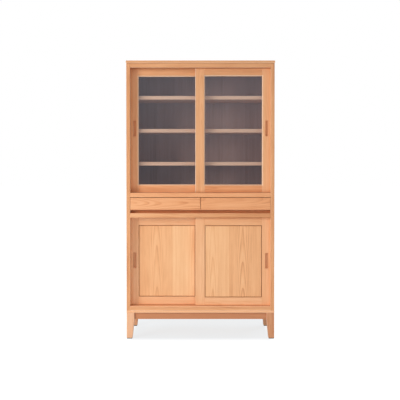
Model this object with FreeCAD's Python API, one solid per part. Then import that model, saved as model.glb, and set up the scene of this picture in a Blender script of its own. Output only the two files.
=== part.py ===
import FreeCAD, Part
import os

# A tall dining cabinet in solid timber. Two glazed sliding doors stand over two drawers, and two panelled
# sliding doors stand below them, on a low frame with tapered legs. Lengths are in millimetres. X points
# right, Y to the back and Z up, and the origin is on the floor in the middle of the plan.

# Carcass
CARCASS_WIDTH = 1000.0
CARCASS_DEPTH = 427.0
SIDE_THICKNESS = 25.0
TOP_BOARD_OVERHANG = 3.0
BASE_PLATE_OVERHANG = 1.0
BACK_THICKNESS = 6.0
BACK_REBATE_WIDTH = 9.0
BACK_EDGE_GAP = 0.5
HOUSING_DEPTH = 8.0
HOUSING_END_GAP = 0.5
HOUSING_THICKNESS = 12.0
HOUSING_SETBACK = 12.0
EASED_EDGE = 1.5
BOARD_EASED_EDGE = 2.5
CUT_OVERRUN = 5.0
TOUCH_TOLERANCE = 0.001

# Layers of the cabinet, from the floor up
LEG_HEIGHT = 175.0
BASE_PLATE_THICKNESS = 15.0
BOTTOM_PANEL_THICKNESS = 30.0
LOWER_OPENING_HEIGHT = 600.0
MIDDLE_DECK_THICKNESS = 30.0
DRAWER_BAY_HEIGHT = 108.0
UPPER_SILL_THICKNESS = 30.0
UPPER_OPENING_HEIGHT = 845.0
TOP_PANEL_THICKNESS = 30.0
TOP_BOARD_THICKNESS = 17.0

# Leg frame
LEG_TOP_WIDTH = 52.0
LEG_FOOT_WIDTH = 39.0
LEG_STUB_WIDTH = 20.0
LEG_STUB_HEIGHT = 10.0
LEG_STUB_PLAY = 0.1
APRON_HEIGHT = 45.0
APRON_THICKNESS = 20.0
APRON_SETBACK = 15.0
APRON_TENON_THICKNESS = 8.0
APRON_TENON_SHOULDER = 6.0
APRON_TENON_SPACING = 4.0
MORTISE_END_GAP = 1.0
GLIDE_HEIGHT = 5.0
GLIDE_INSET = 2.0

# Screws that hold the leg frame's plate under the carcass
SCREW_RADIUS = 2.25
SCREW_HEAD_RADIUS = 4.5
SCREW_HEAD_HEIGHT = 3.0
SCREW_LENGTH = 30.0
SCREW_PLAY = 0.1
SCREW_TIP_GAP = 1.0
SCREW_INSET = 80.0
SCREW_PLACE_SHARES = (-0.3, 0.3)

# Sliding doors and their tracks
DOOR_THICKNESS = 24.0
DOOR_SETBACK = 30.0
DOOR_TRACK_GAP = 6.0
STILE_WIDTH = 65.0
TOP_RAIL_HEIGHT = 51.0
BOTTOM_RAIL_HEIGHT = 53.0
DOOR_TOP_GAP = 4.0
DOOR_BOTTOM_GAP = 2.0
MEETING_MARGIN = 1.0
REAR_DOOR_SEAT = 12.0
FRONT_DOOR_SEAT = 8.0
SEAT_PLAY = 0.5
DOOR_FACE_PLAY = 0.6
TRACK_TONGUE_THICKNESS = 12.0
TRACK_TONGUE_PLAY = 0.5
TRACK_TONGUE_SETBACK = 2.0
LINTEL_GROOVE_DEPTH = 15.0
LINTEL_TONGUE_REACH = 9.0
SILL_GROOVE_DEPTH = 5.0
SLIP_THICKNESS = 1.5
SLIP_EDGE_GAP = 0.2
SLIP_RIDE_GAP = 0.3
DOOR_TENON_LENGTH = 40.0
DOOR_TENON_THICKNESS = 8.0
DOOR_TENON_INNER_SHOULDER = 13.0
DOOR_TENON_OUTER_SHOULDER = 7.0

# Finger grooves in the outer stiles
HANDLE_LENGTH = 105.0
HANDLE_WIDTH = 20.0
HANDLE_DEPTH = 12.0
HANDLE_FLOOR_RADIUS = 3.0
LEFT_HANDLE_INSET = 38.5
RIGHT_HANDLE_INSET = 32.5
UPPER_HANDLE_RISE = 14.5
LOWER_HANDLE_RISE = 5.0

# Glass and its beads in the upper doors
GLASS_THICKNESS = 4.0
GLASS_LIP = 10.0
GLASS_REBATE_WIDTH = 9.0
GLASS_EDGE_GAP = 1.0
GLASS_OPENING_BEVEL = 7.0
BEAD_EASED_EDGE = 2.0

# Floating panels in the lower doors
PANEL_SHADOW_GAP = 4.0
PANEL_FACE_SETBACK = 1.0
PANEL_BACK_SETBACK = 3.0
PANEL_GROOVE_WIDTH = 7.0
PANEL_GROOVE_DEPTH = 10.0
PANEL_EXPANSION_GAP = 2.0
PANEL_TONGUE_PLAY = 0.2

# Shelves and their pins
SHELF_THICKNESS = 25.0
SHELF_FRONT_CLEARANCE = 11.0
SHELF_BACK_CLEARANCE = 4.0
SHELF_END_CLEARANCE = 1.0
UPPER_SHELF_PITCH = 226.5
PIN_RADIUS = 3.5
PIN_SEAT = 11.0
PIN_REACH = 13.0
PIN_PLAY = 0.05
PIN_END_GAP = 0.5
PIN_INSET = 45.0
PIN_HOLE_STEP = 32.0

# Drawers, their runners and the finger gap below them
DRAWER_FACE_SETBACK = 1.0
DRAWER_FRONT_THICKNESS = 20.0
DRAWER_FRONT_HEIGHT = 81.5
DRAWER_TOP_GAP = 3.5
DRAWER_END_GAP = 1.2
DRAWER_MEETING_GAP = 3.0
DRAWER_BOX_LENGTH = 365.0
DRAWER_BOX_RISE = 12.0
DRAWER_BOX_DROP = 8.0
DRAWER_BOX_PLAY = 3.0
DRAWER_SIDE_THICKNESS = 14.0
DRAWER_HOUSING_DEPTH = 6.0
DRAWER_BACK_THICKNESS = 12.0
DRAWER_BACK_INSET = 10.0
DRAWER_BACK_DROP = 6.0
DRAWER_BOTTOM_THICKNESS = 5.0
DRAWER_BOTTOM_RISE = 7.0
DRAWER_BOTTOM_EDGE_GAP = 0.5
FINGER_RAIL_SETBACK = 42.0
FINGER_RAIL_THICKNESS = 18.0
FINGER_RAIL_GAP = 3.0
PARTITION_THICKNESS = 18.0
RUNNER_WIDTH = 10.0
RUNNER_HEIGHT = 14.0
RUNNER_INSET = 2.0
RUNNER_BACK_GAP = 10.0
RUNNER_SIDE_PLAY = 0.5
RUNNER_RIDE_GAP = 0.3
RUNNER_LOWER_PLAY = 1.0
RUNNER_STOP_GAP = 0.5

LEFT, RIGHT = -1, 1
FRONT, REAR = -1, 1
SIDE_NAMES = {LEFT: "left", RIGHT: "right"}
END_NAMES = {FRONT: "front", REAR: "rear"}


def above(span, height):
    """The layer of this height that lies on another one."""
    return (span[1], span[1] + height)


def below(level, height):
    return (level - height, level)


def onward(start, length):
    return (start, start + length)


def around(middle, width):
    return (middle - width / 2, middle + width / 2)


def middle_of(span):
    return (span[0] + span[1]) / 2


def grown(span, margin):
    return (span[0] - margin, span[1] + margin)


def mirrored(side, near, far):
    """The span between two distances from the middle plane, on one side of it."""
    return tuple(sorted((side * near, side * far)))


def box(x, y, z):
    return Part.makeBox(x[1] - x[0], y[1] - y[0], z[1] - z[0], FreeCAD.Vector(x[0], y[0], z[0]))


def joined(first, *others):
    return first.fuse(list(others)).removeSplitter() if others else first


def edges_at(shape, **places):
    """The edges that lie wholly at the given coordinates, such as y=front_y."""
    found = []
    for edge in shape.Edges:
        room = edge.BoundBox
        ends = {"x": (room.XMin, room.XMax), "y": (room.YMin, room.YMax), "z": (room.ZMin, room.ZMax)}
        if all(abs(end - value) < TOUCH_TOLERANCE for axis, value in places.items() for end in ends[axis]):
            found.append(edge)
    return found


def eased(shape, size, *places):
    """Takes the sharp edges at these places off a board."""
    edges = [edge for place in places for edge in edges_at(shape, **place)]
    return shape.makeChamfer(size, edges)


def upright_rectangle(x, y, z):
    """A closed wire in the upright plane y."""
    corners = [(x[0], z[0]), (x[1], z[0]), (x[1], z[1]), (x[0], z[1])]
    points = [FreeCAD.Vector(across, y, up) for across, up in corners]
    return Part.makePolygon(points + points[:1])


# Levels and planes that the pieces share
base_plate_z = onward(LEG_HEIGHT, BASE_PLATE_THICKNESS)
bottom_panel_z = above(base_plate_z, BOTTOM_PANEL_THICKNESS)
lower_opening_z = above(bottom_panel_z, LOWER_OPENING_HEIGHT)
middle_deck_z = above(lower_opening_z, MIDDLE_DECK_THICKNESS)
drawer_bay_z = above(middle_deck_z, DRAWER_BAY_HEIGHT)
upper_sill_z = above(drawer_bay_z, UPPER_SILL_THICKNESS)
upper_opening_z = above(upper_sill_z, UPPER_OPENING_HEIGHT)
top_panel_z = above(upper_opening_z, TOP_PANEL_THICKNESS)
top_board_z = above(top_panel_z, TOP_BOARD_THICKNESS)
carcass_z = (bottom_panel_z[0], top_panel_z[1])

half_width = CARCASS_WIDTH / 2
half_inner = half_width - SIDE_THICKNESS
inner_x = (-half_inner, half_inner)
front_y = TOP_BOARD_OVERHANG - (CARCASS_DEPTH + TOP_BOARD_OVERHANG) / 2
back_y = front_y + CARCASS_DEPTH
inner_back_y = back_y - BACK_THICKNESS

# The right doors run on the front track and the left doors on the rear one
track_pitch = DOOR_THICKNESS + DOOR_TRACK_GAP
door_y = {
    RIGHT: onward(front_y + DOOR_SETBACK, DOOR_THICKNESS),
    LEFT: onward(front_y + DOOR_SETBACK + track_pitch, DOOR_THICKNESS),
}
door_seat = {RIGHT: FRONT_DOOR_SEAT, LEFT: REAR_DOOR_SEAT}
door_groove_depth = max(FRONT_DOOR_SEAT, REAR_DOOR_SEAT) + SEAT_PLAY
meeting_overlap = STILE_WIDTH + MEETING_MARGIN
closed_width = 2 * half_inner + FRONT_DOOR_SEAT + REAR_DOOR_SEAT
door_width = (closed_width + meeting_overlap) / 2
sill_tongue_reach = SILL_GROOVE_DEPTH - SLIP_THICKNESS - SLIP_RIDE_GAP
tracks_back_y = door_y[LEFT][1]
housing_y = (tracks_back_y + HOUSING_SETBACK, inner_back_y)

apron_z = below(LEG_HEIGHT, APRON_HEIGHT)
apron_tenon_z = grown(apron_z, -APRON_TENON_SHOULDER)
neighbour_tenon = APRON_SETBACK + (APRON_THICKNESS + APRON_TENON_THICKNESS) / 2
apron_tenon_length = LEG_TOP_WIDTH - neighbour_tenon - APRON_TENON_SPACING

shelf_x = grown(inner_x, -SHELF_END_CLEARANCE)
shelf_y = (tracks_back_y + SHELF_FRONT_CLEARANCE, inner_back_y - SHELF_BACK_CLEARANCE)
upper_shelf_middles = {
    "bottom": middle_of(upper_opening_z) - UPPER_SHELF_PITCH,
    "middle": middle_of(upper_opening_z),
    "top": middle_of(upper_opening_z) + UPPER_SHELF_PITCH,
}
lower_shelf_middle = middle_of(lower_opening_z)
shelf_middles = list(upper_shelf_middles.values()) + [lower_shelf_middle]
adjustable_shelf_middles = [upper_shelf_middles["middle"], lower_shelf_middle]

drawer_front_y = onward(front_y + DRAWER_FACE_SETBACK, DRAWER_FRONT_THICKNESS)
drawer_front_z = below(drawer_bay_z[1] - DRAWER_TOP_GAP, DRAWER_FRONT_HEIGHT)
drawer_box_z = (drawer_front_z[0] + DRAWER_BOX_RISE, drawer_front_z[1] - DRAWER_BOX_DROP)
drawer_side_y = (drawer_front_y[1] - DRAWER_HOUSING_DEPTH, drawer_front_y[1] + DRAWER_BOX_LENGTH)
drawer_bottom_z = onward(drawer_box_z[0] + DRAWER_BOTTOM_RISE, DRAWER_BOTTOM_THICKNESS)
drawer_back_y = below(drawer_side_y[1] - DRAWER_BACK_INSET, DRAWER_BACK_THICKNESS)
partition_x = around(0, PARTITION_THICKNESS)
finger_rail_y = onward(front_y + FINGER_RAIL_SETBACK, FINGER_RAIL_THICKNESS)
finger_rail_z = (drawer_bay_z[0], drawer_box_z[0] - FINGER_RAIL_GAP)
runner_y = (finger_rail_y[1] + RUNNER_INSET, inner_back_y - RUNNER_BACK_GAP)
runner_z = around(middle_of(drawer_box_z), RUNNER_HEIGHT)


def housing_z(panel_z):
    return around(middle_of(panel_z), HOUSING_THICKNESS)


def pin_level(shelf_middle):
    return shelf_middle - SHELF_THICKNESS / 2 - PIN_RADIUS - PIN_PLAY


def pin_columns():
    return (shelf_y[0] + PIN_INSET, shelf_y[1] - PIN_INSET)


def rod_along_x(side, near, far, radius, y, z):
    """A round rod that runs outwards from the distance near to the distance far."""
    start = FreeCAD.Vector(side * near, y, z)
    return Part.makeCylinder(radius, far - near, start, FreeCAD.Vector(side, 0, 0))


def track_grooves(z):
    """Cutters for the front and the rear track, the length of the opening."""
    width = TRACK_TONGUE_THICKNESS + 2 * TRACK_TONGUE_PLAY
    return [box(inner_x, around(middle_of(door_y[side]), width), z) for side in (RIGHT, LEFT)]


def deck(z, lintel=False, sill=False):
    """A full-depth panel, housed in both sides, with door tracks below or above it."""
    board = box(inner_x, (front_y, inner_back_y), z)
    board = eased(board, EASED_EDGE, {"y": front_y, "z": z[0]}, {"y": front_y, "z": z[1]})
    reach = half_inner + HOUSING_DEPTH - HOUSING_END_GAP
    board = joined(board, box((-reach, reach), housing_y, housing_z(z)))
    if lintel:
        board = board.cut(track_grooves((z[0] - CUT_OVERRUN, z[0] + LINTEL_GROOVE_DEPTH)))
    if sill:
        board = board.cut(track_grooves((z[1] - SILL_GROOVE_DEPTH, z[1] + CUT_OVERRUN)))
    return board


def door_slips(sill_top):
    """The two slippery strips that lie in a sill's tracks."""
    width = TRACK_TONGUE_THICKNESS + 2 * TRACK_TONGUE_PLAY - 2 * SLIP_EDGE_GAP
    z = onward(sill_top - SILL_GROOVE_DEPTH, SLIP_THICKNESS)
    strips_y = [around(middle_of(door_y[side]), width) for side in (LEFT, RIGHT)]
    return Part.makeCompound([box(inner_x, y, z) for y in strips_y])


def side_panel(side):
    """A side with housings for the decks, grooves for the closing doors and rows of pin holes."""
    board = box(mirrored(side, half_inner, half_width), (front_y, back_y), carcass_z)
    edges = [{"x": side * distance, "y": front_y} for distance in (half_inner, half_width)]
    board = eased(board, EASED_EDGE, *edges)
    inside = half_inner - CUT_OVERRUN
    cuts = []
    for z in (bottom_panel_z, middle_deck_z, upper_sill_z, top_panel_z):
        cuts.append(box(mirrored(side, inside, half_inner + HOUSING_DEPTH), housing_y, housing_z(z)))
    for z in (lower_opening_z, upper_opening_z):
        groove_x = mirrored(side, inside, half_inner + door_groove_depth)
        cuts.append(box(groove_x, grown(door_y[side], DOOR_FACE_PLAY), z))
    rebate_x = mirrored(side, inside, half_inner + BACK_REBATE_WIDTH)
    cuts.append(box(rebate_x, (inner_back_y, back_y + CUT_OVERRUN), grown(carcass_z, CUT_OVERRUN)))
    hole_floor = half_inner + PIN_SEAT + PIN_END_GAP
    levels = [pin_level(middle) for middle in shelf_middles]
    levels += [pin_level(middle) - PIN_HOLE_STEP for middle in adjustable_shelf_middles]
    for level in levels:
        for y in pin_columns():
            cuts.append(rod_along_x(side, inside, hole_floor, PIN_RADIUS + PIN_PLAY, y, level))
    return board.cut(cuts)


def back_panel(z):
    reach = half_inner + BACK_REBATE_WIDTH - BACK_EDGE_GAP
    return box((-reach, reach), (inner_back_y, back_y), z)


def overhanging_board(z, overhang):
    """The top board or the base plate, which stand a little proud of the carcass."""
    outside = half_width + overhang
    front = front_y - overhang
    board = box((-outside, outside), (front, back_y), z)
    edges = [{"z": level, "y": front} for level in z]
    edges += [{"z": level, "x": x} for level in z for x in (-outside, outside)]
    edges += [{"x": x, "y": front} for x in (-outside, outside)]
    return eased(board, BOARD_EASED_EDGE, *edges)


def shelf(middle):
    z = around(middle, SHELF_THICKNESS)
    board = box(shelf_x, shelf_y, z)
    return eased(board, EASED_EDGE, {"y": shelf_y[0], "z": z[0]}, {"y": shelf_y[0], "z": z[1]})


def shelf_pin(side, y, level):
    return rod_along_x(side, half_inner - PIN_REACH, half_inner + PIN_SEAT, PIN_RADIUS, y, level)


def shelf_pins():
    pins = []
    for middle in shelf_middles:
        for side in (LEFT, RIGHT):
            pins += [shelf_pin(side, y, pin_level(middle)) for y in pin_columns()]
    return Part.makeCompound(pins)


def leg_square(side, end, width):
    """The plan of a leg of this width, flush with the outside corner of the carcass."""
    x = mirrored(side, half_width - width, half_width)
    y = onward(front_y, width) if end == FRONT else below(back_y, width)
    return x, y


def eased_corners(x, y, z):
    """The points of a level rectangle with its four corners taken off."""
    near_x, near_y = grown(x, -EASED_EDGE), grown(y, -EASED_EDGE)
    corners = [
        (near_x[0], y[0]), (near_x[1], y[0]), (x[1], near_y[0]), (x[1], near_y[1]),
        (near_x[1], y[1]), (near_x[0], y[1]), (x[0], near_y[1]), (x[0], near_y[0]),
    ]
    return [FreeCAD.Vector(*corner, z) for corner in corners]


def flat_face(points):
    return Part.Face(Part.makePolygon(points + points[:1]))


def flat_sided(lower, upper):
    """The solid between two level outlines that have as many points each."""
    faces = [flat_face(lower), flat_face(upper)]
    for start in range(len(lower)):
        end = (start + 1) % len(lower)
        faces.append(flat_face([lower[start], lower[end], upper[end], upper[start]]))
    return Part.Solid(Part.Shell(faces))


def leg_stub(side, end, width, z):
    """The square stub in the middle of a leg's top, or the socket for it."""
    x, y = leg_square(side, end, LEG_TOP_WIDTH)
    return box(around(middle_of(x), width), around(middle_of(y), width), z)


def apron_y(end):
    if end == FRONT:
        return onward(front_y + APRON_SETBACK, APRON_THICKNESS)
    return below(back_y - APRON_SETBACK, APRON_THICKNESS)


def apron_x(side):
    return mirrored(side, half_width - APRON_SETBACK - APRON_THICKNESS, half_width - APRON_SETBACK)


def leg(side, end):
    """A leg that is square behind the aprons and tapers on its two inner faces below them."""
    x, y = leg_square(side, end, LEG_TOP_WIDTH)
    foot = eased_corners(*leg_square(side, end, LEG_FOOT_WIDTH), GLIDE_HEIGHT)
    shoulder, head = [eased_corners(x, y, z) for z in apron_z]
    post = joined(flat_sided(shoulder, head), flat_sided(foot, shoulder))
    stub_z = (LEG_HEIGHT - LEG_STUB_HEIGHT, LEG_HEIGHT + LEG_STUB_HEIGHT)
    post = joined(post, leg_stub(side, end, LEG_STUB_WIDTH, stub_z))
    depth = apron_tenon_length + MORTISE_END_GAP
    face_x = half_width - LEG_TOP_WIDTH
    along_x = mirrored(side, face_x - CUT_OVERRUN, face_x + depth)
    tenon_y = around(middle_of(apron_y(end)), APRON_TENON_THICKNESS)
    tenon_x = around(middle_of(apron_x(side)), APRON_TENON_THICKNESS)
    along_y = (y[1] - depth, y[1] + CUT_OVERRUN) if end == FRONT else (y[0] - CUT_OVERRUN, y[0] + depth)
    return post.cut([box(along_x, tenon_y, apron_tenon_z), box(tenon_x, along_y, apron_tenon_z)])


def long_apron(end):
    """The front or the rear apron, tenoned into two legs."""
    half_length = half_width - LEG_TOP_WIDTH
    tenon_reach = half_length + apron_tenon_length
    y = apron_y(end)
    board = box((-half_length, half_length), y, apron_z)
    tenon_y = around(middle_of(y), APRON_TENON_THICKNESS)
    return joined(board, box((-tenon_reach, tenon_reach), tenon_y, apron_tenon_z))


def side_apron(side):
    """The left or the right apron, tenoned into two legs."""
    x = apron_x(side)
    y = (front_y + LEG_TOP_WIDTH, back_y - LEG_TOP_WIDTH)
    board = box(x, y, apron_z)
    tenon_x = around(middle_of(x), APRON_TENON_THICKNESS)
    return joined(board, box(tenon_x, grown(y, apron_tenon_length), apron_tenon_z))


def floor_glides():
    """A square felt pad under each foot."""
    glides = []
    for side in (LEFT, RIGHT):
        for end in (FRONT, REAR):
            x, y = leg_square(side, end, LEG_FOOT_WIDTH)
            glides.append(box(grown(x, -GLIDE_INSET), grown(y, -GLIDE_INSET), (0, GLIDE_HEIGHT)))
    return Part.makeCompound(glides)


def base_screw_places():
    for y in (front_y + SCREW_INSET, back_y - SCREW_INSET):
        for share in SCREW_PLACE_SHARES:
            yield share * CARCASS_WIDTH, y


def countersunk(x, y, play, tip_gap):
    """A countersunk screw driven upwards from the base plate's underside, or the hole for it."""
    start = FreeCAD.Vector(x, y, LEG_HEIGHT)
    up = FreeCAD.Vector(0, 0, 1)
    shank = Part.makeCylinder(SCREW_RADIUS + play, SCREW_LENGTH + tip_gap, start, up)
    head = Part.makeCone(SCREW_HEAD_RADIUS + play, SCREW_RADIUS + play, SCREW_HEAD_HEIGHT, start, up)
    return joined(shank, head)


def base_screws():
    return Part.makeCompound([countersunk(x, y, 0, 0) for x, y in base_screw_places()])


def base_screw_holes():
    return [countersunk(x, y, SCREW_PLAY, SCREW_TIP_GAP) for x, y in base_screw_places()]


def base_plate():
    """The plate on the leg frame, with sockets for the legs' stubs and screw holes."""
    sockets = []
    for side in (LEFT, RIGHT):
        for end in (FRONT, REAR):
            z = (base_plate_z[0] - CUT_OVERRUN, base_plate_z[0] + LEG_STUB_HEIGHT + LEG_STUB_PLAY)
            sockets.append(leg_stub(side, end, LEG_STUB_WIDTH + 2 * LEG_STUB_PLAY, z))
    return overhanging_board(base_plate_z, BASE_PLATE_OVERHANG).cut(sockets + base_screw_holes())


def door_x(side, near, far):
    """A span across a door, from distances measured inwards from its closing edge."""
    closing_edge = half_inner + door_seat[side]
    return mirrored(side, closing_edge - near, closing_edge - far)


def door_face_z(opening_z):
    return (opening_z[0] + DOOR_BOTTOM_GAP, opening_z[1] - DOOR_TOP_GAP)


def frame_opening_x(side):
    return door_x(side, STILE_WIDTH, door_width - STILE_WIDTH)


def frame_opening_z(opening_z):
    face_z = door_face_z(opening_z)
    return (face_z[0] + BOTTOM_RAIL_HEIGHT, face_z[1] - TOP_RAIL_HEIGHT)


def track_tongue_y(side):
    return around(middle_of(door_y[side]), TRACK_TONGUE_THICKNESS)


def tenon_levels(opening_z):
    """The heights of the tenons on the bottom and the top rail."""
    face_z = door_face_z(opening_z)
    inner_z = frame_opening_z(opening_z)
    low = (face_z[0] + DOOR_TENON_OUTER_SHOULDER, inner_z[0] - DOOR_TENON_INNER_SHOULDER)
    high = (inner_z[1] + DOOR_TENON_INNER_SHOULDER, face_z[1] - DOOR_TENON_OUTER_SHOULDER)
    return low, high


def opening_bevel(x, z, y, size):
    """A cutter that takes a mitred bevel off the edges of an opening, on the face y."""
    wide = size + CUT_OVERRUN
    mouth = upright_rectangle(grown(x, wide), y - CUT_OVERRUN, grown(z, wide))
    return Part.makeLoft([mouth, upright_rectangle(x, y + size, z)], True, True)


def finger_groove(side, middle):
    """A cutter for the groove that the fingers pull, with a floor that is rounded along both sides."""
    face = door_y[side][0]
    inset = LEFT_HANDLE_INSET if side == LEFT else RIGHT_HANDLE_INSET
    x = door_x(side, inset - HANDLE_WIDTH / 2, inset + HANDLE_WIDTH / 2)
    floor = face + HANDLE_DEPTH
    block = box(x, (face - CUT_OVERRUN, floor), around(middle, HANDLE_LENGTH))
    floor_edges = [edge for wall in x for edge in edges_at(block, x=wall, y=floor)]
    return block.makeFillet(HANDLE_FLOOR_RADIUS, floor_edges)


def door_frame(side, opening_z, cuts, handle_middle):
    """The two stiles and two rails of a sliding door, by the names of the pieces."""
    y = door_y[side]
    face_z = door_face_z(opening_z)
    inner_z = frame_opening_z(opening_z)
    tongue_z = (opening_z[0] - sill_tongue_reach, opening_z[1] + LINTEL_TONGUE_REACH)
    tongue_y = track_tongue_y(side)
    tenon_y = around(middle_of(y), DOOR_TENON_THICKNESS)
    mortise_length = DOOR_TENON_LENGTH + MORTISE_END_GAP
    mortise_x = door_x(side, STILE_WIDTH - mortise_length, door_width - STILE_WIDTH + mortise_length)
    mortises = [box(mortise_x, tenon_y, z) for z in tenon_levels(opening_z)]
    tenon_x = door_x(side, STILE_WIDTH - DOOR_TENON_LENGTH, door_width - STILE_WIDTH + DOOR_TENON_LENGTH)

    def stile(near, far, tongue_near):
        x = door_x(side, near, far)
        post = box(x, y, face_z)
        post = eased(post, EASED_EDGE, {"x": x[0], "y": y[0]}, {"x": x[1], "y": y[0]})
        return joined(post, box(door_x(side, tongue_near, far), tongue_y, tongue_z)).cut(mortises + cuts)

    def rail(rail_z, rail_tongue_z, tenon_z):
        x = frame_opening_x(side)
        bar = eased(box(x, y, rail_z), EASED_EDGE, {"y": y[0], "z": rail_z[0]}, {"y": y[0], "z": rail_z[1]})
        return joined(bar, box(x, tongue_y, rail_tongue_z), box(tenon_x, tenon_y, tenon_z)).cut(cuts)

    low_tenon_z, high_tenon_z = tenon_levels(opening_z)
    clear_of_side = door_groove_depth + TRACK_TONGUE_SETBACK
    return {
        "outer_stile": stile(0, STILE_WIDTH, clear_of_side).cut(finger_groove(side, handle_middle)),
        "meeting_stile": stile(door_width - STILE_WIDTH, door_width, door_width - STILE_WIDTH),
        "bottom_rail": rail((face_z[0], inner_z[0]), (tongue_z[0], inner_z[0]), low_tenon_z),
        "top_rail": rail((inner_z[1], face_z[1]), (inner_z[1], tongue_z[1]), high_tenon_z),
    }


def glazing_beads(x, y, z):
    """Four strips that hold the glass in its rebate: x and z are the rebate's outline."""
    inner_x_span = grown(x, -GLASS_REBATE_WIDTH)
    inner_z_span = grown(z, -GLASS_REBATE_WIDTH)
    strips = []
    for outer, inner in zip(x, inner_x_span):
        upright = box(sorted((outer, inner)), y, z)
        strips.append(eased(upright, BEAD_EASED_EDGE, {"x": inner, "y": y[1]}))
    for outer, inner in zip(z, inner_z_span):
        level = box(inner_x_span, y, sorted((outer, inner)))
        strips.append(eased(level, BEAD_EASED_EDGE, {"z": inner, "y": y[1]}))
    return Part.makeCompound(strips)


def glazed_door(side):
    """An upper door: a rebated frame, a sheet of glass and its beads."""
    x = frame_opening_x(side)
    z = frame_opening_z(upper_opening_z)
    y = door_y[side]
    glass_y = onward(y[0] + GLASS_LIP, GLASS_THICKNESS)
    rebate_x = grown(x, GLASS_REBATE_WIDTH)
    rebate_z = grown(z, GLASS_REBATE_WIDTH)
    cuts = [
        box(rebate_x, (glass_y[0], y[1] + CUT_OVERRUN), rebate_z),
        opening_bevel(x, z, y[0], GLASS_OPENING_BEVEL),
    ]
    pieces = door_frame(side, upper_opening_z, cuts, middle_of(upper_opening_z) + UPPER_HANDLE_RISE)
    pieces["glass"] = box(grown(rebate_x, -GLASS_EDGE_GAP), glass_y, grown(rebate_z, -GLASS_EDGE_GAP))
    pieces["glazing_beads"] = glazing_beads(rebate_x, (glass_y[1], y[1]), rebate_z)
    return pieces


def panelled_door(side):
    """A lower door: a grooved frame and a floating panel with a shadow gap round its face."""
    x = frame_opening_x(side)
    z = frame_opening_z(lower_opening_z)
    y = door_y[side]
    groove_y = around(middle_of(y), PANEL_GROOVE_WIDTH)
    groove = box(grown(x, PANEL_GROOVE_DEPTH), groove_y, grown(z, PANEL_GROOVE_DEPTH))
    cuts = [groove, opening_bevel(x, z, y[0], EASED_EDGE)]
    pieces = door_frame(side, lower_opening_z, cuts, middle_of(lower_opening_z) + LOWER_HANDLE_RISE)
    field_x = grown(x, -PANEL_SHADOW_GAP)
    field_z = grown(z, -PANEL_SHADOW_GAP)
    field = box(field_x, (y[0] + PANEL_FACE_SETBACK, y[1] - PANEL_BACK_SETBACK), field_z)
    field = eased(field, EASED_EDGE, {"y": y[0] + PANEL_FACE_SETBACK})
    reach = PANEL_GROOVE_DEPTH - PANEL_EXPANSION_GAP
    tongue = box(grown(x, reach), grown(groove_y, -PANEL_TONGUE_PLAY), grown(z, reach))
    pieces["panel"] = joined(field, tongue)
    return pieces


def drawer_box_x(side):
    return mirrored(side, partition_x[1] + DRAWER_BOX_PLAY, half_inner - DRAWER_BOX_PLAY)


def drawer_walls_x(side):
    """The thickness of the inner and of the outer wall of a drawer box."""
    low, high = drawer_box_x(side)
    return onward(low, DRAWER_SIDE_THICKNESS), below(high, DRAWER_SIDE_THICKNESS)


def drawer_bottom(side):
    walls = drawer_walls_x(side)
    reach = DRAWER_HOUSING_DEPTH - DRAWER_BOTTOM_EDGE_GAP
    x = grown((walls[0][1], walls[1][0]), reach)
    return box(x, (drawer_front_y[1] - reach, drawer_back_y[1]), drawer_bottom_z)


def drawer_bottom_groove(side):
    """A cutter for the groove that holds the bottom, in the front and in both walls."""
    walls = drawer_walls_x(side)
    x = grown((walls[0][1], walls[1][0]), DRAWER_HOUSING_DEPTH)
    y = (drawer_front_y[1] - DRAWER_HOUSING_DEPTH, drawer_side_y[1] + CUT_OVERRUN)
    return box(x, y, drawer_bottom_z)


def drawer_front(side):
    x = mirrored(side, DRAWER_MEETING_GAP / 2, half_inner - DRAWER_END_GAP)
    face = eased(box(x, drawer_front_y, drawer_front_z), EASED_EDGE, {"y": drawer_front_y[0]})
    housings = [box(wall_x, drawer_side_y, drawer_box_z) for wall_x in drawer_walls_x(side)]
    return face.cut(housings + [drawer_bottom_groove(side)])


def drawer_back_x(side):
    walls = drawer_walls_x(side)
    return grown((walls[0][1], walls[1][0]), DRAWER_HOUSING_DEPTH)


def drawer_back(side):
    z = (drawer_bottom_z[1], drawer_box_z[1] - DRAWER_BACK_DROP)
    return box(drawer_back_x(side), drawer_back_y, z)


def drawer_sides(side):
    """Both walls of a drawer, each with the groove that hangs on its runner."""
    walls_x = drawer_walls_x(side)
    groove_depth = RUNNER_WIDTH - DRAWER_BOX_PLAY + RUNNER_SIDE_PLAY
    groove_y = (runner_y[0] - RUNNER_STOP_GAP, drawer_side_y[1] + CUT_OVERRUN)
    groove_z = (runner_z[0] - RUNNER_LOWER_PLAY, runner_z[1] + RUNNER_RIDE_GAP)
    low, high = drawer_box_x(side)
    grooves = [
        box((low - CUT_OVERRUN, low + groove_depth), groove_y, groove_z),
        box((high - groove_depth, high + CUT_OVERRUN), groove_y, groove_z),
    ]
    cuts = grooves + [drawer_bottom_groove(side), drawer_back(side)]
    return Part.makeCompound([box(x, drawer_side_y, drawer_box_z).cut(cuts) for x in walls_x])


def drawer_runners():
    runners = []
    for side in (LEFT, RIGHT):
        runners.append(box(mirrored(side, half_inner - RUNNER_WIDTH, half_inner), runner_y, runner_z))
        near = partition_x[1]
        runners.append(box(mirrored(side, near, near + RUNNER_WIDTH), runner_y, runner_z))
    return Part.makeCompound(runners)


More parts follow.
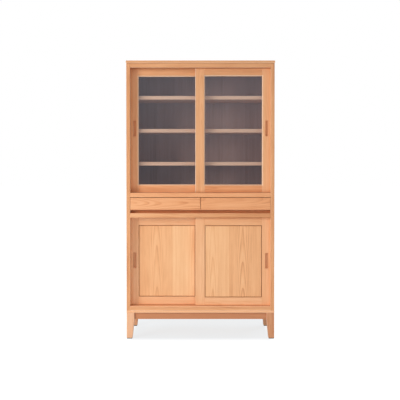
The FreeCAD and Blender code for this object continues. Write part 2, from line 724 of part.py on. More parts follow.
def carcass_pieces():
    seam = middle_of(upper_sill_z)
    pieces = {
        "top_board": overhanging_board(top_board_z, TOP_BOARD_OVERHANG),
        "top_panel": deck(top_panel_z, lintel=True),
        "upper_sill": deck(upper_sill_z, sill=True),
        "middle_deck": deck(middle_deck_z, lintel=True),
        "bottom_panel": deck(bottom_panel_z, sill=True).cut(base_screw_holes()),
        "upper_back_panel": back_panel((seam, carcass_z[1])),
        "lower_back_panel": back_panel((carcass_z[0], seam)),
        "drawer_partition": box(partition_x, (finger_rail_y[1], inner_back_y), drawer_bay_z),
        "finger_rail": box(inner_x, finger_rail_y, finger_rail_z),
        "drawer_runners": drawer_runners(),
        "lower_shelf": shelf(lower_shelf_middle),
        "shelf_pins": shelf_pins(),
        "upper_door_slips": door_slips(upper_sill_z[1]),
        "lower_door_slips": door_slips(bottom_panel_z[1]),
        "base_plate": base_plate(),
        "floor_glides": floor_glides(),
        "base_screws": base_screws(),
    }
    for name, middle in upper_shelf_middles.items():
        pieces["upper_shelf_" + name] = shelf(middle)
    for end in (FRONT, REAR):
        pieces[END_NAMES[end] + "_apron"] = long_apron(end)
    for side in (LEFT, RIGHT):
        pieces[SIDE_NAMES[side] + "_side_panel"] = side_panel(side)
        pieces[SIDE_NAMES[side] + "_apron"] = side_apron(side)
        for end in (FRONT, REAR):
            pieces[END_NAMES[end] + "_" + SIDE_NAMES[side] + "_leg"] = leg(side, end)
    return pieces


def moving_pieces():
    pieces = {}
    for side in (LEFT, RIGHT):
        name = SIDE_NAMES[side]
        for piece, shape in glazed_door(side).items():
            pieces["upper_" + name + "_door_" + piece] = shape
        for piece, shape in panelled_door(side).items():
            pieces["lower_" + name + "_door_" + piece] = shape
        pieces[name + "_drawer_front"] = drawer_front(side)
        pieces[name + "_drawer_sides"] = drawer_sides(side)
        pieces[name + "_drawer_back"] = drawer_back(side)
        pieces[name + "_drawer_bottom"] = drawer_bottom(side)
    return pieces


os.makedirs("parts", exist_ok=True)
for node, shape in {**carcass_pieces(), **moving_pieces()}.items():
    shape.exportStep("parts/" + node + ".step")
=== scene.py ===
import math
import random
from collections import namedtuple

import bpy
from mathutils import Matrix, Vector


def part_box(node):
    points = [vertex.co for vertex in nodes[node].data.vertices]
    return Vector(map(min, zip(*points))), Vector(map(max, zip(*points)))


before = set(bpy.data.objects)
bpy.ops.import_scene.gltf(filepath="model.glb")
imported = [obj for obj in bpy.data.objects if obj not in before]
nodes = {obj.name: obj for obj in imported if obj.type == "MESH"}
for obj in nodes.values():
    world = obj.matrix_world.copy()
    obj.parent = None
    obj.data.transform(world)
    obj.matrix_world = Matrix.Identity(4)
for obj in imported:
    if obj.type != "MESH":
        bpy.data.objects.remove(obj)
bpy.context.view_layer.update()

# Lengths are in metres, and colours given to linear() are levels from 0 to 255, as a screen shows them.
AXES = {"x": 0, "y": 1, "z": 2}
NO_VECTOR = (0.0, 0.0, 0.0)
WHITE = (1.0, 1.0, 1.0, 1.0)

# Camera
CAMERA_PLACE = (-0.003, -5.212, 1.2)
CAMERA_TILT = math.radians(0.97)
CAMERA_LENS_MM = 66.68
CAMERA_SENSOR_MM = 36.0
CAMERA_SHIFT = -0.065

# Lamps: name, place, the point that it looks at, its width and height, and its watts
LAMPS = (
    ("key", (-3.4, -3.2, 2.0), (0.0, -0.2, 0.5), (1.8, 1.8), 104.0),
    ("bounce", (0.0, -1.6, 0.06), (0.0, -0.2, 0.5), (2.4, 0.8), 9.5),
    ("back", (3.0, 3.2, 2.0), (0.0, 0.1, 0.9), (2.4, 2.4), 70.0),
    ("top", (0.0, 0.9, 4.0), (0.0, 0.1, 1.88), (2.0, 2.0), 18.0),
)

# World: the light from all round, and how bright gloss sees the sky, by how steeply a ray rises
AMBIENT = (0.51, 0.51, 0.525, 1.0)
GLOSS_SKY_RISE = (0.0, 0.10)
GLOSS_SKY = (0.66, 1.0)

# Floor: the camera sees it lit, with a glow, and mixed with an evenly painted shadow. Glow and painted shadow are
# dimmer on the footprint, so it is painted darker there, and fade to white round it, sooner at its sides. Gloss
# and glass see one plain brightness.
FLOOR_REACH = 30.0
FLOOR_COLOUR = (0.67, 0.81, 0.92, 1.0)
FLOOR_ROUGHNESS = 0.9
FLOOR_GLOW = (0.47, 1.0)
FLOOR_PAINTED_SHADOW = (0.83, 1.0)
PAINTED_SHADOW_SHARE = 0.8
FOOTPRINT_MIDDLE = (0.0, 0.121, 0.0)
FOOTPRINT_HALF = (0.46, 0.309, 0.0)
SHADE_FADE = (0.0, 0.13)
SHADE_STRETCH = (3.0, 1.0, 0.0)
GLOSS_FLOOR = 0.63

# The curve from a screen's levels to light
TOP_LEVEL = 255
CURVE_KNEE = 0.04045
CURVE_SLOPE = 12.92
CURVE_OFFSET = 0.055
CURVE_POWER = 2.4


def linear(red, green, blue):
    """A shader colour from the 0 to 255 levels that it shows on a screen."""
    light = []
    for level in (red, green, blue):
        share = level / TOP_LEVEL
        if share <= CURVE_KNEE:
            light.append(share / CURVE_SLOPE)
        else:
            light.append(((share + CURVE_OFFSET) / (1 + CURVE_OFFSET)) ** CURVE_POWER)
    return (*light, 1.0)


class Timber:
    """A kind of timber: its name, and its light, middle and dark colour."""

    PLACES = (0.0, 0.5, 1.0)

    def __init__(self, name, *colours):
        self.name = name
        self.stops = list(zip(self.PLACES, (linear(*colour) for colour in colours)))


CHERRY = Timber("cherry", (248, 190, 142), (234, 168, 117), (204, 132, 84))
HEART_CHERRY = Timber("heart_cherry", (248, 183, 133), (234, 160, 108), (204, 124, 76))
LEG_CHERRY = Timber("leg_cherry", (245, 191, 151), (231, 169, 125), (201, 133, 91))
PANEL_CHERRY = Timber("panel_cherry", (251, 198, 146), (240, 176, 123), (208, 136, 88))
SHELF_CHERRY = Timber("shelf_cherry", (246, 203, 168), (238, 187, 150), (214, 157, 120))
# Painted shade: the back boards are painted darker and greyer than cherry, as the shade inside the cabinet; their
# outer faces take the cherry-coloured back_outside.
BACK_PAINTED_SHADE = Timber("back_painted_shade", (181, 150, 138), (165, 134, 122), (137, 108, 97))
BACK_OUTSIDE = Timber("back_outside", (236, 184, 140), (220, 162, 116), (190, 128, 86))
# Painted light: the sides' inner faces and the decks' tops take these paler timbers.
SIDE_INSIDE_PAINTED_LIGHT = Timber("side_inside_painted_light", (250, 204, 160), (243, 191, 146), (230, 173, 127))
DECK_TOP_PAINTED_LIGHT = Timber("deck_top", (250, 190, 141), (243, 181, 132), (226, 158, 108))
PALE_WOOD = Timber("pale_wood", (246, 220, 184), (238, 206, 166), (214, 174, 132))

# Noise in the timber: its scale across and along the grain, its detail and its roughness
Texture = namedtuple("Texture", "across along detail roughness")
DRIFT = Texture(9.0, 2.2, 1.0, 0.55)
STREAK = Texture(75.0, 1.6, 4.0, 0.6)
FIBRE = Texture(650.0, 14.0, 3.0, 0.65)
CLOUD = Texture(11.0, 4.0, 2.0, 0.55)
NOISE_MEAN = 0.5
NOISE_SHIFT = 50
STREAK_SHARE = 0.8
FIBRE_SHARE = 0.55
CLOUD_SHARE = 0.5

# Rings: the darkness over one of them, how their heart leaves the face, and how far drift moves them
RING_SPACING = 0.0065
RING_PROFILE = ((0.0, 0.25), (0.35, 0.0), (0.86, 0.8), (0.95, 1.0), (1.0, 0.25))
RING_MEAN = 0.42
HEART_SLOPE = 0.03
HEART_DEPTH = 0.10
WANDER = 0.035
PANEL_WANDER = 0.012

# The rings show in patches, where the clouds of the timber lie in this range
PATCH_CLOUDS = (0.35, 0.65)
PATCH_FIGURE = (0.3, 1.4)

# Finish of the timber
FINISH_FIBRES = (0.3, 0.7)
FINISH_ROUGHNESS = (0.40, 0.54)
FINISH_SPECULAR = 0.3
GRAIN_RING_HEIGHT = 0.25
GRAIN_BUMP = 0.12
GRAIN_HEIGHT = 0.0006

# Boards of one piece, from its low side: start and heart, in the cabinet's frame, tone and how deep the heart
# lies. Hearts are stored as colours, which can't be negative, so they are moved by an offset.
Board = namedtuple("Board", "start heart tone depth")
HEART_OFFSET = 0.5
HEART_SPREAD = (-0.6, 1.6)
TONE_SPREAD = (0.35, 0.65)
DEPTH_SPREAD = (0.2, 0.8)
MIDDLE_TONE = 0.5
LEVEL_BOARD = 0.1
SIDE_BOARD = 0.09
BACK_BOARD = 0.16
ONE_BOARD = 1.0

# Boards whose figure follows the photo, and how strong the figure is
BOARDS = {
    "left_drawer_front": [Board(0.86, 0.918, 0.5, 0.45)],
    "right_drawer_front": [Board(0.86, 0.94, 0.5, 0.6)],
    "lower_left_door_panel": [Board(-0.42, -0.30, 0.57, 0.6), Board(-0.192, -0.05, 0.34, 0.4)],
    "lower_right_door_panel": [Board(0.02, 0.085, 0.48, 0.485), Board(0.193, 0.30, 0.68, 0.3),
                               Board(0.222, 0.288, 0.62, 0.557)],
}
FIGURE = 0.2
FIGURES = {
    "left_drawer_front": 0.5, "right_drawer_front": 0.35,
    "lower_left_door_panel": 0.35, "lower_right_door_panel": 0.58,
}

# How much lighter than the rest of its timber a piece is: partly each board's own tone, partly painted light and
# shade
# For example, the finger rail is painted darker as the shade of its recess, and the base plate is painted lighter.
TONE_AND_PAINTED_LIGHT = {
    "top_board": -0.05, "top_panel": -0.2, "left_side_panel": -0.3, "right_side_panel": -0.28,
    "upper_sill": 0.12, "middle_deck": -0.17, "finger_rail": -0.35, "left_drawer_front": 0.12,
    "base_plate": 0.65, "front_apron": -0.45, "front_left_leg": 0.2, "front_right_leg": -0.3,
    "upper_left_door_outer_stile": 0.06,
    "upper_right_door_outer_stile": 0.15, "upper_right_door_meeting_stile": 0.1,
    "upper_right_door_top_rail": -0.2, "upper_right_door_bottom_rail": -0.2,
    "lower_left_door_outer_stile": 0.12, "lower_left_door_meeting_stile": 0.2,
    "lower_left_door_top_rail": 0.12, "lower_left_door_bottom_rail": 0.15, "lower_left_door_panel": 0.08,
    "lower_right_door_outer_stile": 0.12, "lower_right_door_meeting_stile": 0.35,
    "lower_right_door_top_rail": 0.1, "lower_right_door_bottom_rail": 0.35, "lower_right_door_panel": 0.06,
}

# Painted light: how much darker a piece is painted per metre, from left to right, as the light falls off
PAINTED_LIGHT_FALLOFF = {"upper_sill": 0.15, "middle_deck": 0.45, "left_drawer_front": 0.45}

# Faces painted with another timber than the rest of their piece, as painted light and shade: the axis and the way
# that they face, and their timber
PAINTED_LIGHT_FACES = {
    "left_side_panel": ("x", 1.0, SIDE_INSIDE_PAINTED_LIGHT), "right_side_panel": ("x", -1.0, SIDE_INSIDE_PAINTED_LIGHT),
    "upper_sill": ("z", 1.0, DECK_TOP_PAINTED_LIGHT), "middle_deck": ("z", 1.0, DECK_TOP_PAINTED_LIGHT), "bottom_panel": ("z", 1.0, DECK_TOP_PAINTED_LIGHT),
    "upper_back_panel": ("y", 1.0, BACK_OUTSIDE), "lower_back_panel": ("y", 1.0, BACK_OUTSIDE),
}
FACE_NORMAL = (0.4, 0.6)

# Painted highlight on edges: faces whose normal has no part over this range along an axis, and one stile's leading
# edge, are painted paler as though they catch the light, except on the pieces listed without it
SLANT = (0.82, 0.94)
PAINTED_EDGE_HIGHLIGHT = linear(252, 218, 186)
PAINTED_EDGE_HIGHLIGHT_SHARE = 0.55
LEADING_STILE = "upper_right_door_meeting_stile"
LEADING_EDGE = 0.005
LOWER_DOORS = ("lower_left_door_", "lower_right_door_")
WITHOUT_EDGE_HIGHLIGHT = ("left_side_panel", "right_side_panel", "upper_sill", "middle_deck",
               "left_drawer_front", "right_drawer_front", *LOWER_DOORS)
EDGE_SOFTNESS = 0.0005

# Painted shadow: a dark line painted under the top board's overhang
UNDER_TOP_BOARD = ("top_panel", "left_side_panel", "right_side_panel")
OVERHANG_LINE = 0.006
OVERHANG_PAINTED_SHADOW = (0.72, 0.66, 0.60, 1.0)

# Painted shade on the underside of a shelf
UNDERSIDE_PAINTED_SHADE = (0.66, 0.60, 0.58, 1.0)

# Painted shade inside the finger grooves of the outer stiles: half the size of a groove, and its place in the
# cabinet
GROOVE_REACH = (0.0105, 0.053)
GROOVE_PLACE = {"left": -0.4485, "right": 0.4505}
GROOVE_LEVEL = {"upper": 1.425, "lower": 0.525}
GROOVE_DEPTH = 0.002
GROOVE_PAINTED_SHADE = (0.90, 0.82, 0.78, 1.0)

# Painted shade in the shadow gaps round the lower doors' panels: their depth behind the face, and the walls that
# face them
GAP_DEPTH = (0.002, 0.012)
GAP_NORMAL = (0.5, 0.9)
GAP_PAINTED_SHADE = (0.58, 0.42, 0.32, 1.0)

# Glass
GLASS_COLOUR = linear(240, 242, 245)
GLASS_SHADOW = linear(243, 244, 246)
GLASS_TINT = (0.80, 0.87, 1.0, 1.0)
GLASS_IOR = 1.55

# Small-grained surfaces
MOTTLE_DETAIL = 4.0
MOTTLE_ROUGHNESS = 0.6
MOTTLE_RANGE = (0.3, 0.7)
MOTTLE_BUMP = 0.2


class Graph:
    """A node graph, with short ways to add to it."""

    # The colour sockets of a Mix node
    MIX_INPUTS = (6, 7)
    MIX_OUTPUT = 2

    def __init__(self, tree):
        self.tree = tree

    def add(self, kind, *values, **settings):
        """A node with these settings, and with these values or links on its first sockets."""
        node = self.tree.nodes.new(kind)
        for key, value in settings.items():
            setattr(node, key, value)
        for socket, value in zip(node.inputs, values):
            self.feed(socket, value)
        return node

    def feed(self, socket, value):
        """Links an output to a socket, or sets a plain value on it."""
        if isinstance(value, bpy.types.NodeSocket):
            self.tree.links.new(value, socket)
        else:
            socket.default_value = value

    def feed_all(self, node, values):
        """Links or sets the sockets of a node by their names."""
        for name, value in values.items():
            self.feed(node.inputs[name], value)

    def math(self, operation, *values):
        return self.add("ShaderNodeMath", *values, operation=operation).outputs[0]

    def vector(self, operation, *values):
        return self.add("ShaderNodeVectorMath", *values, operation=operation).outputs

    def parts(self, vector):
        return self.add("ShaderNodeSeparateXYZ", vector).outputs

    def remap(self, value, start, end, to_start, to_end):
        return self.add("ShaderNodeMapRange", value, start, end, to_start, to_end).outputs[0]

    def within(self, value, low, high):
        """1 between two limits and 0 outside them, with soft ends."""
        rise = self.remap(value, low - EDGE_SOFTNESS, low, 0.0, 1.0)
        return self.math("MULTIPLY", rise, self.remap(value, high, high + EDGE_SOFTNESS, 1.0, 0.0))

    def noise(self, vector, scale, shift, detail, roughness):
        place = self.add("ShaderNodeMapping", vector, shift, NO_VECTOR, scale).outputs[0]
        node = self.add("ShaderNodeTexNoise")
        self.feed_all(node, {"Vector": place, "Scale": 1.0, "Detail": detail, "Roughness": roughness})
        return node.outputs["Fac"]

    def ramp(self, value, stops, interpolation="LINEAR"):
        node = self.add("ShaderNodeValToRGB", value)
        node.color_ramp.interpolation = interpolation
        elements = node.color_ramp.elements
        while len(elements) > 1:
            elements.remove(elements[-1])
        for number, (place, colour) in enumerate(stops):
            element = elements[0] if number == 0 else elements.new(place)
            element.position = place
            element.color = colour
        return node.outputs["Color"]

    def mixed(self, colour, share, other, blend):
        """Blends a colour with another one by a share that varies over the surface."""
        node = self.add("ShaderNodeMix", share, data_type="RGBA", blend_type=blend)
        for socket, value in zip(self.MIX_INPUTS, (colour, other)):
            self.feed(node.inputs[socket], value)
        return node.outputs[self.MIX_OUTPUT]

    def mixed_shader(self, share, first, second):
        return self.add("ShaderNodeMixShader", share, first, second).outputs[0]

    def any_ray(self, *kinds):
        """1 for rays of any of these kinds, and 0 for others."""
        path = self.add("ShaderNodeLightPath").outputs
        found = path[kinds[0]]
        for kind in kinds[1:]:
            found = self.math("MAXIMUM", found, path[kind])
        return found


class Surface(Graph):
    """The node graph of one material."""

    def __init__(self, name):
        self.material = bpy.data.materials.new(name)
        self.material.use_nodes = True
        super().__init__(self.material.node_tree)
        self.shader = self.tree.nodes["Principled BSDF"]
        self.output = self.tree.nodes["Material Output"]

    def bump(self, height, strength, distance):
        node = self.add("ShaderNodeBump")
        self.feed_all(node, {"Height": height, "Strength": strength, "Distance": distance})
        self.feed(self.shader.inputs["Normal"], node.outputs["Normal"])


class Cut:
    """How the grain lies in one piece, and the sockets that say where a point is, from the piece's middle."""

    def __init__(self, surface, node, along, across):
        low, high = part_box(node)
        self.node = node
        self.low, self.middle, self.half = low, (low + high) / 2, (high - low) / 2
        self.along, self.across = AXES[along], AXES[across]
        self.deep = AXES[({*AXES} - {along, across}).pop()]
        self.place = surface.add("ShaderNodeTexCoord").outputs["Object"]
        self.parts = surface.parts(surface.vector("SUBTRACT", self.place, self.middle)[0])
        self.normal = surface.add("ShaderNodeNewGeometry").outputs["True Normal"]

    def noise(self, surface, texture, shift):
        """Noise that is drawn out along the grain."""
        scale = [texture.across] * len(AXES)
        scale[self.along] = texture.along
        return surface.noise(self.place, scale, shift, texture.detail, texture.roughness)


def plain_boards(low, width, board_width, draw):
    """Boards of about one width, each with its heart and tone drawn at random."""
    count = max(1, round(width / board_width))
    step = width / count
    boards = []
    for number in range(count):
        start = low + number * step
        heart = start + step * draw.uniform(*HEART_SPREAD)
        boards.append(Board(start, heart, draw.uniform(*TONE_SPREAD), draw.uniform(*DEPTH_SPREAD)))
    return boards


def board_layout(surface, cut, boards):
    """How far across a point lies from its board's heart, and the board's tone and depth."""
    low, half = cut.low[cut.across], cut.half[cut.across]
    stops = []
    for number, board in enumerate(boards):
        position = 0.0 if number == 0 else (board.start - low) / (2 * half)
        stops.append((position, (HEART_OFFSET + (board.heart - low), board.tone, board.depth, 1.0)))
    across = cut.parts[cut.across]
    layout = surface.ramp(surface.remap(across, -half, half, 0.0, 1.0), stops, "CONSTANT")
    heart, tone, depth = surface.add("ShaderNodeSeparateColor", layout).outputs
    return surface.math("SUBTRACT", surface.math("ADD", across, HEART_OFFSET + half), heart), tone, depth


def growth_rings(surface, cut, heart, depth, drift):
    """How dark the growth ring is at a point, from its distance to the heart of its board."""
    wander = PANEL_WANDER if cut.node.endswith("door_panel") else WANDER
    reach = surface.math("MULTIPLY", depth, HEART_DEPTH)
    reach = surface.math("MULTIPLY_ADD", cut.parts[cut.along], HEART_SLOPE, reach)
    reach = surface.math("ADD", reach, cut.parts[cut.deep])
    squares = (surface.math("MULTIPLY", length, length) for length in (heart, reach))
    radius = surface.math("MULTIPLY_ADD", drift, wander, surface.math("SQRT", surface.math("ADD", *squares)))
    place = surface.math("FRACT", surface.math("DIVIDE", radius, RING_SPACING))
    return surface.ramp(place, [(stop, (dark, dark, dark, 1.0)) for stop, dark in RING_PROFILE])


def facing(surface, cut, axis, way):
    """1 on faces that face one way along an axis."""
    along = surface.math("MULTIPLY", surface.parts(cut.normal)[AXES[axis]], way)
    return surface.remap(along, *FACE_NORMAL, 0.0, 1.0)


def slanted(surface, cut):
    """1 on faces that lie across the piece's axes, such as bevels and eased edges."""
    x, y, z = surface.parts(surface.vector("ABSOLUTE", cut.normal)[0])
    largest = surface.math("MAXIMUM", x, surface.math("MAXIMUM", y, z))
    return surface.remap(largest, *SLANT, 1.0, 0.0)


def groove_share(surface, cut):
    """1 inside the finger groove of an outer stile, where shade is painted."""
    level, side = cut.node.split("_")[:2]
    middle = Vector((GROOVE_PLACE[side], 0.0, GROOVE_LEVEL[level])) - cut.middle
    face = -cut.half.y
    share = surface.remap(cut.parts[AXES["y"]], face, face + GROOVE_DEPTH, 0.0, 1.0)
    for axis, reach in zip((AXES["x"], AXES["z"]), GROOVE_REACH):
        inside = surface.within(cut.parts[axis], middle[axis] - reach, middle[axis] + reach)
        share = surface.math("MULTIPLY", share, inside)
    return share


def gap_share(surface, cut):
    """1 on the walls and floor of the shadow gap between a lower door's panel and frame, where shade is painted.
    """
    face = -cut.half.y
    share = surface.within(cut.parts[AXES["y"]], *(face + depth for depth in GAP_DEPTH))
    if cut.node.endswith("panel"):
        return share
    door = next(name for name in LOWER_DOORS if cut.node.startswith(name))
    low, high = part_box(door + "panel")
    inward = ((low + high) / 2 - cut.middle)[cut.across]
    towards = surface.math("MULTIPLY", surface.parts(cut.normal)[cut.across], math.copysign(1.0, inward))
    return surface.math("MULTIPLY", share, surface.remap(towards, *GAP_NORMAL, 0.0, 1.0))


def with_painted_light(surface, cut, colour):
    """A timber's colour with the painted highlights, painted shadows and painted shade that its piece has."""
    node = cut.node
    # Painted highlight: bevels, eased edges and one stile's leading edge are painted paler, as if they caught the
    # light.
    if not node.startswith(WITHOUT_EDGE_HIGHLIGHT):
        highlight = slanted(surface, cut)
        if node == LEADING_STILE:
            edge = -cut.half.x
            highlight = surface.math("MAXIMUM", highlight, surface.within(cut.parts[AXES["x"]], edge, edge + LEADING_EDGE))
        colour = surface.mixed(colour, surface.math("MULTIPLY", highlight, PAINTED_EDGE_HIGHLIGHT_SHARE), PAINTED_EDGE_HIGHLIGHT, "MIX")
    # Painted shadow: a dark line under the top board's overhang.
    if node in UNDER_TOP_BOARD:
        line = cut.half.z - OVERHANG_LINE
        share = surface.remap(cut.parts[AXES["z"]], line, line + OVERHANG_LINE / 2, 0.0, 1.0)
        colour = surface.mixed(colour, share, OVERHANG_PAINTED_SHADOW, "MULTIPLY")
    # Painted shade on the underside of a shelf.
    if "shelf" in node:
        colour = surface.mixed(colour, facing(surface, cut, "z", -1.0), UNDERSIDE_PAINTED_SHADE, "MULTIPLY")
    # Painted shade inside the finger groove.
    if node.endswith("outer_stile"):
        colour = surface.mixed(colour, groove_share(surface, cut), GROOVE_PAINTED_SHADE, "MULTIPLY")
    # Painted shade in the shadow gap round the panel.
    if node.startswith(LOWER_DOORS):
        colour = surface.mixed(colour, gap_share(surface, cut), GAP_PAINTED_SHADE, "MULTIPLY")
    return colour


def wood(node, timber, along, across, seed, board_width):
    """A timber whose rings, streaks and fibres follow one axis of its piece."""
    draw = random.Random(seed)
    surface = Surface(f"{timber.name}_{node}")
    cut = Cut(surface, node, along, across)
    low, width = cut.low[cut.across], 2 * cut.half[cut.across]
    boards = BOARDS.get(node) or plain_boards(low, width, board_width, draw)
    shift = tuple(draw.uniform(-NOISE_SHIFT, NOISE_SHIFT) for _ in AXES)
    drift, streak, fibre, cloud = (cut.noise(surface, texture, shift) for texture in (DRIFT, STREAK, FIBRE, CLOUD))
    heart, tone, depth = board_layout(surface, cut, boards)
    ring = growth_rings(surface, cut, heart, depth, drift)

    figure = FIGURES.get(node, FIGURE)
    patch = surface.remap(cloud, *PATCH_CLOUDS, *(share * figure for share in PATCH_FIGURE))
    level = MIDDLE_TONE - TONE_AND_PAINTED_LIGHT.get(node, 0.0)
    for value, mean, share in ((ring, RING_MEAN, patch), (streak, NOISE_MEAN, STREAK_SHARE),
                               (fibre, NOISE_MEAN, FIBRE_SHARE), (cloud, NOISE_MEAN, CLOUD_SHARE)):
        level = surface.math("MULTIPLY_ADD", surface.math("SUBTRACT", value, mean), share, level)
    level = surface.math("ADD", level, surface.math("SUBTRACT", tone, MIDDLE_TONE))
    # Painted light: darker towards the right, as the light falls off from the left.
    if node in PAINTED_LIGHT_FALLOFF:
        level = surface.math("MULTIPLY_ADD", cut.parts[AXES["x"]], PAINTED_LIGHT_FALLOFF[node], level)

    colour = surface.ramp(level, timber.stops)
    # Painted light and shade: some faces take a lighter or darker timber by the way they face.
    if node in PAINTED_LIGHT_FACES:
        axis, way, other = PAINTED_LIGHT_FACES[node]
        colour = surface.mixed(colour, facing(surface, cut, axis, way), surface.ramp(level, other.stops), "MIX")
    surface.feed_all(surface.shader, {
        "Base Color": with_painted_light(surface, cut, colour),
        "Roughness": surface.remap(fibre, *FINISH_FIBRES, *FINISH_ROUGHNESS),
        "Specular IOR Level": FINISH_SPECULAR,
    })
    surface.bump(surface.math("MULTIPLY_ADD", ring, GRAIN_RING_HEIGHT, fibre), GRAIN_BUMP, GRAIN_HEIGHT)
    return surface.material


def grey_glass():
    """Glass that lets the lamps through to the shelves."""
    surface = Surface("grey_glass")
    surface.feed_all(surface.shader, {
        "Base Color": GLASS_COLOUR,
        "Roughness": 0.0,
        "IOR": GLASS_IOR,
        "Specular Tint": GLASS_TINT,
        "Transmission Weight": 1.0,
    })
    clear = surface.add("ShaderNodeBsdfTransparent", GLASS_SHADOW)
    through = surface.any_ray("Is Shadow Ray", "Is Diffuse Ray")
    mixed = surface.mixed_shader(through, surface.shader.outputs[0], clear.outputs[0])
    surface.feed(surface.output.inputs["Surface"], mixed)
    return surface.material


def mottled(name, light, dark, scale, roughness, metallic, height):
    """A small-grained surface such as felt, plastic or brushed metal."""
    surface = Surface(name)
    place = surface.add("ShaderNodeTexCoord").outputs["Object"]
    grain = surface.noise(place, (scale,) * len(AXES), NO_VECTOR, MOTTLE_DETAIL, MOTTLE_ROUGHNESS)
    surface.feed_all(surface.shader, {
        "Base Color": surface.ramp(grain, list(zip(MOTTLE_RANGE, (linear(*light), linear(*dark))))),
        "Roughness": surface.remap(grain, *MOTTLE_RANGE, *roughness),
        "Metallic": metallic,
    })
    surface.bump(grain, MOTTLE_BUMP, height)
    return surface.material


def paint(node, material):
    slots = nodes[node].data.materials
    slots.clear()
    slots.append(material)


# Pieces of timber: nodes, timber, axis of the grain, axis across it, seed of the first node, width of a board
PIECES = [
    (("top_board", "top_panel", "upper_sill", "middle_deck", "bottom_panel", "base_plate"),
     CHERRY, "x", "y", 100, LEVEL_BOARD),
    (("upper_shelf_top", "upper_shelf_middle", "upper_shelf_bottom", "lower_shelf"),
     SHELF_CHERRY, "x", "y", 120, LEVEL_BOARD),
    (("left_side_panel", "right_side_panel"), CHERRY, "z", "y", 140, SIDE_BOARD),
    (("upper_back_panel", "lower_back_panel"), BACK_PAINTED_SHADE, "z", "x", 150, BACK_BOARD),
    (("front_left_leg", "front_right_leg", "rear_left_leg", "rear_right_leg"),
     LEG_CHERRY, "z", "x", 160, ONE_BOARD),
    (("front_apron", "rear_apron"), LEG_CHERRY, "x", "z", 170, ONE_BOARD),
    (("left_apron", "right_apron"), LEG_CHERRY, "y", "z", 174, ONE_BOARD),
    (("drawer_partition",), PALE_WOOD, "y", "z", 180, ONE_BOARD),
    (("finger_rail",), CHERRY, "x", "z", 181, ONE_BOARD),
    (("drawer_runners",), PALE_WOOD, "y", "z", 182, ONE_BOARD),
    (("left_drawer_front", "right_drawer_front"), CHERRY, "x", "z", 190, ONE_BOARD),
    (("left_drawer_sides", "right_drawer_sides"), PALE_WOOD, "y", "z", 194, ONE_BOARD),
    (("left_drawer_back", "right_drawer_back"), PALE_WOOD, "x", "z", 196, ONE_BOARD),
    (("left_drawer_bottom", "right_drawer_bottom"), PALE_WOOD, "x", "y", 198, ONE_BOARD),
]

# Each door has ten seeds of its own: its nodes, timber, axes, and the place of the first node's seed among them
DOOR_SEEDS = {"upper_left_door_": 200, "upper_right_door_": 210, "lower_left_door_": 220, "lower_right_door_": 230}
DOOR_FRAME = ((("outer_stile", "meeting_stile"), CHERRY, "z", "x", 0),
              (("top_rail", "bottom_rail"), CHERRY, "x", "z", 3))
GLAZED_DOOR = (*DOOR_FRAME, (("glazing_beads",), CHERRY, "z", "x", 6))
PANELLED_DOOR = (*DOOR_FRAME, (("panel",), PANEL_CHERRY, "z", "x", 7))
for door, seed in DOOR_SEEDS.items():
    for names, timber, along, across, place in PANELLED_DOOR if door in LOWER_DOORS else GLAZED_DOOR:
        PIECES.append((tuple(door + name for name in names), timber, along, across, seed + place, ONE_BOARD))

# Cherry pieces that are cut nearer the heart, and redder
REDDER = ("upper_sill", "base_plate", "finger_rail", "left_drawer_front", "right_drawer_front",
          "upper_left_door_outer_stile", "upper_left_door_bottom_rail", "upper_right_door_bottom_rail")
for names, timber, along, across, seed, board_width in PIECES:
    for number, node in enumerate(names):
        kind = HEART_CHERRY if node in REDDER else timber
        paint(node, wood(node, kind, along, across, seed + number, board_width))

glass = grey_glass()
for node in ("upper_left_door_glass", "upper_right_door_glass"):
    paint(node, glass)

# Small parts: nodes, material, light and dark colour, scale of the grain, roughness, metal, height of the grain
SMALL_PARTS = (
    (("upper_door_slips", "lower_door_slips"),
     "slip_strip", (196, 158, 120), (176, 136, 100), 600.0, (0.35, 0.5), 0.0, 0.0004),
    (("floor_glides",), "glide_felt", (92, 78, 66), (58, 48, 40), 900.0, (0.85, 0.98), 0.0, 0.001),
    (("shelf_pins",), "pin_metal", (190, 188, 184), (160, 158, 154), 700.0, (0.28, 0.42), 1.0, 0.0004),
    (("base_screws",), "screw_steel", (150, 148, 146), (110, 108, 106), 700.0, (0.3, 0.5), 1.0, 0.0004),
)
for names, *look in SMALL_PARTS:
    material = mottled(*look)
    for node in names:
        paint(node, material)


def floor_material():
    """Pale floor that keeps the object's shadow, with a shadow painted on its footprint for the camera, and white
    to the camera away from it.
    """
    surface = Surface("floor")
    away = surface.add("ShaderNodeTexCoord").outputs["Object"]
    for operation, other in (("SUBTRACT", FOOTPRINT_MIDDLE), ("ABSOLUTE", NO_VECTOR), ("SUBTRACT", FOOTPRINT_HALF),
                             ("MAXIMUM", NO_VECTOR), ("MULTIPLY", SHADE_STRETCH)):
        away = surface.vector(operation, away, other)[0]
    distance = surface.vector("LENGTH", away)["Value"]
    seen = surface.any_ray("Is Camera Ray")
    surface.feed_all(surface.shader, {
        "Base Color": FLOOR_COLOUR,
        "Roughness": FLOOR_ROUGHNESS,
        "Specular IOR Level": 0.0,
        "Emission Color": WHITE,
        "Emission Strength": surface.math("MULTIPLY", seen, surface.remap(distance, *SHADE_FADE, *FLOOR_GLOW)),
    })
    # Painted shadow: an even shade on the footprint that fades to white round it, mixed in for the camera.
    painted_shadow = surface.add("ShaderNodeEmission", WHITE, surface.remap(distance, *SHADE_FADE, *FLOOR_PAINTED_SHADOW)).outputs[0]
    plain = surface.add("ShaderNodeEmission", WHITE, GLOSS_FLOOR).outputs[0]
    lit = surface.mixed_shader(surface.math("MULTIPLY", seen, PAINTED_SHADOW_SHARE), surface.shader.outputs[0], painted_shadow)
    mixed = surface.mixed_shader(surface.any_ray("Is Glossy Ray", "Is Transmission Ray"), lit, plain)
    surface.feed(surface.output.inputs["Surface"], mixed)
    return surface.material


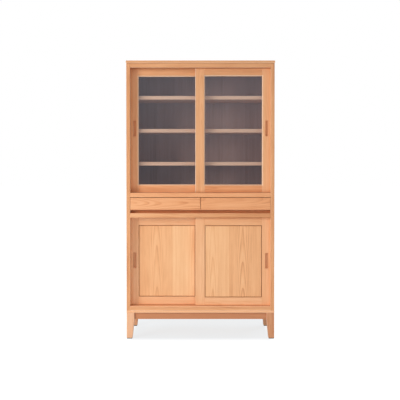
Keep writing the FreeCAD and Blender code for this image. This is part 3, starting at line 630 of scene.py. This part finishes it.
def make_floor():
    mesh = bpy.data.meshes.new("floor")
    corners = [(-1, -1), (1, -1), (1, 1), (-1, 1)]
    mesh.from_pydata([(FLOOR_REACH * x, FLOOR_REACH * y, 0.0) for x, y in corners], [], [(0, 1, 2, 3)])
    mesh.materials.append(floor_material())
    floor = bpy.data.objects.new("floor", mesh)
    bpy.context.scene.collection.objects.link(floor)


def make_world():
    """Soft light from all round, and plain white where the camera, gloss or glass sees past the object."""
    world = bpy.data.worlds.new("studio")
    bpy.context.scene.world = world
    world.use_nodes = True
    world.node_tree.nodes.clear()
    graph = Graph(world.node_tree)
    rise = graph.parts(graph.add("ShaderNodeTexCoord").outputs["Generated"])[AXES["z"]]
    sky = graph.remap(rise, *GLOSS_SKY_RISE, *GLOSS_SKY)
    dimming = graph.math("SUBTRACT", sky, 1.0)
    strength = graph.math("MULTIPLY_ADD", graph.any_ray("Is Glossy Ray"), dimming, 1.0)
    ambient = graph.add("ShaderNodeBackground", AMBIENT).outputs[0]
    white = graph.add("ShaderNodeBackground", WHITE, strength).outputs[0]
    seen = graph.any_ray("Is Camera Ray", "Is Glossy Ray", "Is Transmission Ray")
    graph.add("ShaderNodeOutputWorld", graph.mixed_shader(seen, ambient, white))


def make_lamp(name, place, target, size, power):
    """A soft rectangular lamp that looks at a point and doesn't show itself."""
    data = bpy.data.lights.new(name, "AREA")
    data.shape = "RECTANGLE"
    data.size, data.size_y = size
    data.energy = power
    light = bpy.data.objects.new(name, data)
    light.location = place
    light.rotation_euler = (Vector(target) - Vector(place)).to_track_quat("-Z", "Y").to_euler()
    light.visible_camera = False
    light.visible_glossy = False
    light.visible_transmission = False
    bpy.context.scene.collection.objects.link(light)


def make_camera():
    data = bpy.data.cameras.new("camera")
    data.lens = CAMERA_LENS_MM
    data.sensor_width = CAMERA_SENSOR_MM
    data.shift_y = CAMERA_SHIFT
    camera = bpy.data.objects.new("camera", data)
    camera.location = CAMERA_PLACE
    camera.rotation_euler = (math.pi / 2 - CAMERA_TILT, 0, 0)
    bpy.context.scene.collection.objects.link(camera)
    bpy.context.scene.camera = camera


make_floor()
make_world()
for lamp in LAMPS:
    make_lamp(*lamp)
make_camera()
bpy.context.scene.view_settings.view_transform = "Standard"
